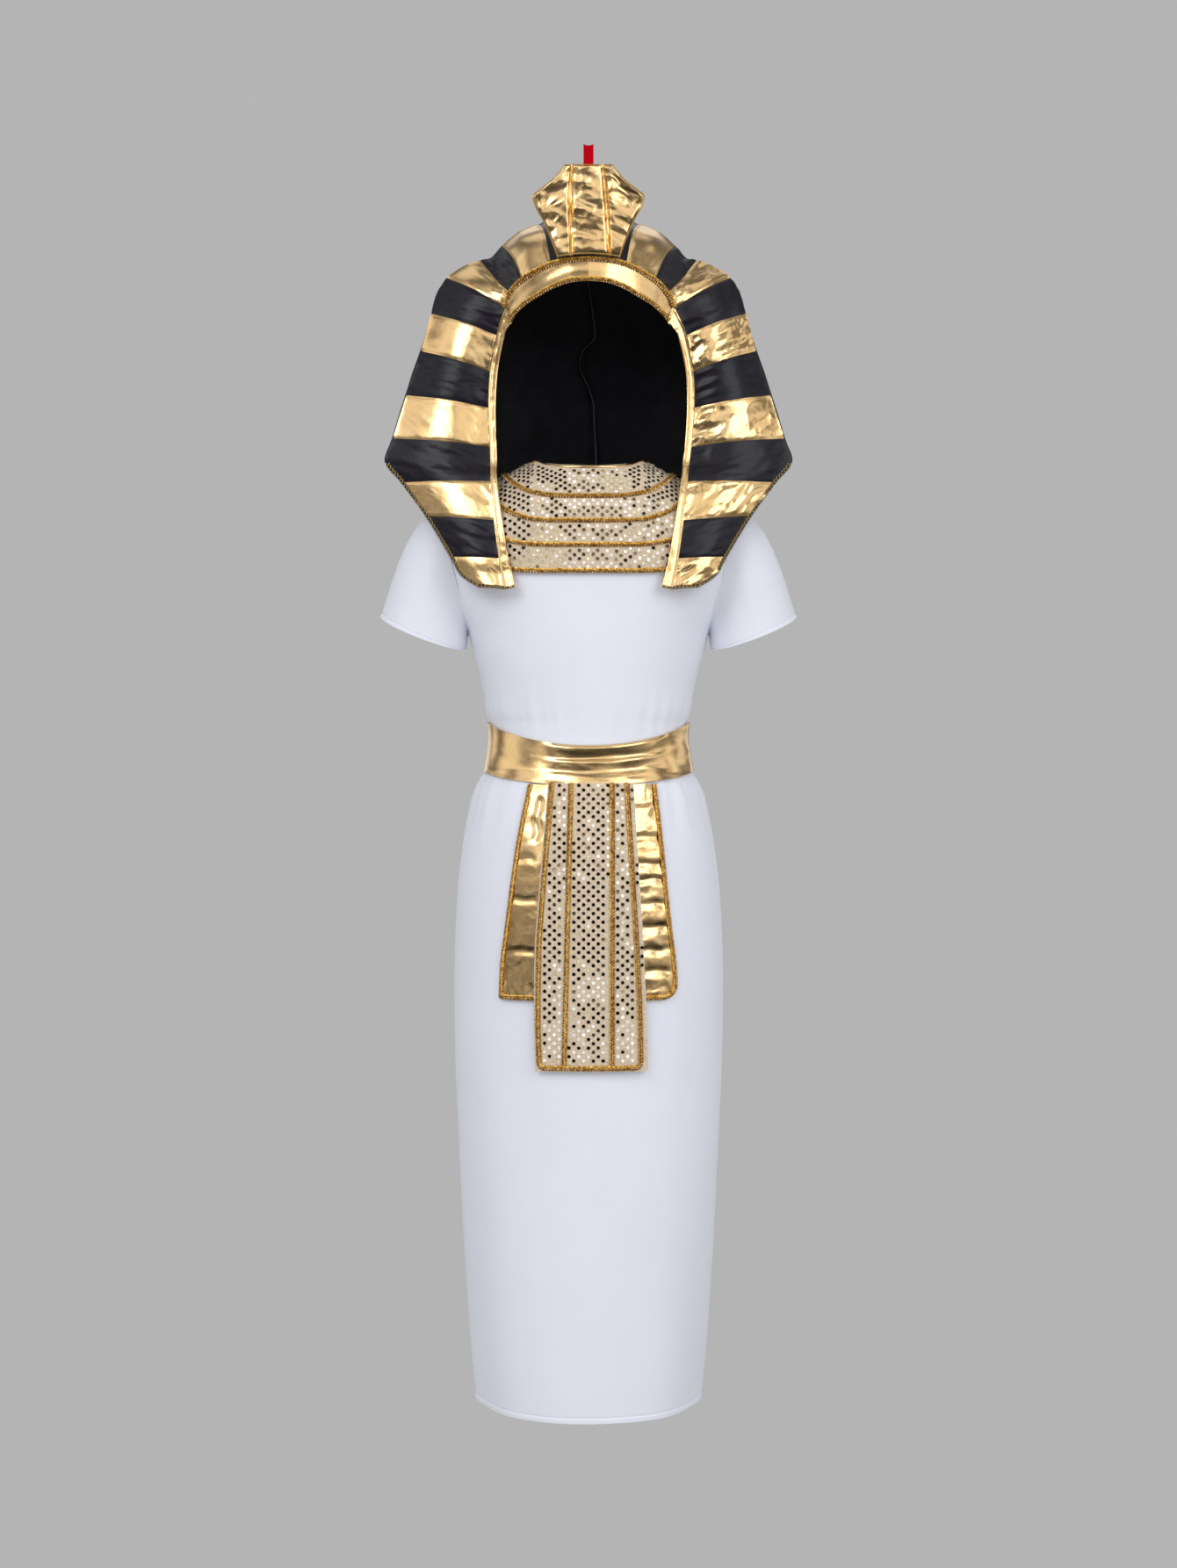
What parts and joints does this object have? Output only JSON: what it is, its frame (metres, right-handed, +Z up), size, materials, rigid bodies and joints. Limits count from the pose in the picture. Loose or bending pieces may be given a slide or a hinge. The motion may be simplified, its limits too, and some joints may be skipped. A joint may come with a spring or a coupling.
{
  "type": "child's pharaoh costume",
  "caption": "Hollow short-sleeved robe with a round sequinned collar, sash, hanging apron and striped headdress with a cobra plate.",
  "frame": {"origin": "on the neck's axis, level with the collar at the sides of the neck, where the wearer's shoulders carry the costume", "axes": "+Z is up, -Y is the front, +X is the wearer's left"},
  "size_m": [0.435, 0.2469, 1.2861],
  "materials": {
    "white_cloth": "matt woven polyester",
    "gold_cloth": "crinkled metallic cloth",
    "black_satin": "black satin",
    "sequin_cloth": "cream cloth with small round sequins",
    "braid": "metallic looped braid",
    "red_ribbon": "satin ribbon"
  },
  "bodies": {
    "root": {"robe_front": "white_cloth", "robe_back": "white_cloth", "sleeve_left": "white_cloth", "sleeve_right": "white_cloth", "collar": "sequin_cloth", "collar_braid_1": "braid", "collar_braid_2": "braid", "collar_braid_3": "braid", "collar_braid_4": "braid", "collar_neck_binding": "braid", "sash": "gold_cloth", "apron_under_panel": "gold_cloth", "apron_top_panel": "sequin_cloth", "apron_under_braid": "braid", "apron_top_braid": "braid", "apron_braid_left": "braid", "apron_braid_right": "braid", "crown_black_middle": "black_satin", "brow_band": "gold_cloth", "brow_edge_braid": "braid", "brow_seam_braid": "braid", "cobra_panel_left": "gold_cloth", "cobra_panel_middle": "gold_cloth", "cobra_panel_right": "gold_cloth", "cobra_backing": "gold_cloth", "tongue": "red_ribbon", "crown_gold_left": "gold_cloth", "crown_gold_right": "gold_cloth", "crown_black_left": "black_satin", "crown_black_right": "black_satin", "lappet_gold_1_left": "gold_cloth", "lappet_gold_1_right": "gold_cloth", "lappet_black_2_left": "black_satin", "lappet_black_2_right": "black_satin", "lappet_gold_3_left": "gold_cloth", "lappet_gold_3_right": "gold_cloth", "lappet_black_4_left": "black_satin", "lappet_black_4_right": "black_satin", "lappet_gold_5_left": "gold_cloth", "lappet_gold_5_right": "gold_cloth", "lappet_black_6_left": "black_satin", "lappet_black_6_right": "black_satin", "lappet_gold_7_left": "gold_cloth", "lappet_gold_7_right": "gold_cloth", "lappet_black_8_left": "black_satin", "lappet_black_8_right": "black_satin", "lappet_gold_9_left": "gold_cloth", "lappet_gold_9_right": "gold_cloth", "lappet_binding_left": "gold_cloth", "lappet_binding_right": "gold_cloth", "hood_back_left": "black_satin", "hood_back_right": "black_satin"}
  },
  "joints": []
}
